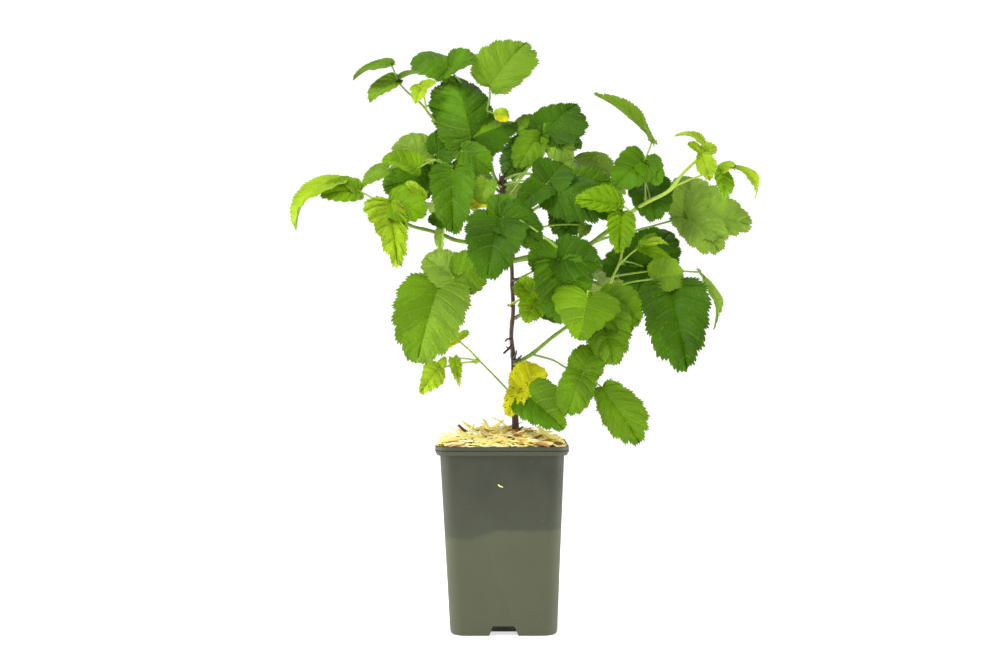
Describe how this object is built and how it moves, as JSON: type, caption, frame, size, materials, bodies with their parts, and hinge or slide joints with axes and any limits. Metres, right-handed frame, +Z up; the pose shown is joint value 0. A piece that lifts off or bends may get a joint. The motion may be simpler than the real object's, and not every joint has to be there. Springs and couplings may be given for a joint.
{
  "type": "potted tayberry plant",
  "caption": "Young cane fruit plant with toothed three-part leaves on green shoots, standing in a square tapered nursery pot topped with wood chips.",
  "frame": {"origin": "middle of the whole plant's box, on the surface that the pot stands on", "axes": "+Z up along the cane, +X to the right as seen from the front, the viewer at -Y"},
  "size_m": [0.476, 0.3026, 0.6091],
  "materials": {
    "pot_plastic": "moulded grey-green nursery pot with a faint sheen",
    "wood_chips": "pale straw-coloured chips over compost",
    "bark": "dark brown woody cane",
    "green_shoot": "soft green young shoots, faintly glossy",
    "leaf": "matt to satin leaves with impressed veins"
  },
  "bodies": {
    "root": {"back_left_foliage": "leaf", "back_left_shoot": "green_shoot", "back_low_foliage": "leaf", "back_low_shoot": "green_shoot", "back_right_foliage": "leaf", "back_right_shoot": "green_shoot", "centre_left_foliage": "leaf", "centre_right_foliage": "leaf", "far_right_foliage": "leaf", "fill": "wood_chips", "front_foliage": "leaf", "inner_left_foliage": "leaf", "left_foliage": "leaf", "left_low_foliage": "leaf", "left_shoot": "green_shoot", "low_front_foliage": "leaf", "low_right_foliage": "leaf", "low_right_shoot": "green_shoot", "low_sprig": "leaf", "lower_middle_foliage": "leaf", "middle_foliage": "leaf", "outer_right_foliage": "leaf", "pot": "pot_plastic", "right_foliage": "leaf", "right_shoot": "green_shoot", "stem": "bark", "stem_foliage": "leaf", "top_foliage": "leaf", "top_shoot": "green_shoot", "upper_left_foliage": "leaf", "upper_left_shoot": "green_shoot", "upper_right_foliage": "leaf", "upper_right_shoot": "green_shoot"}
  },
  "joints": []
}
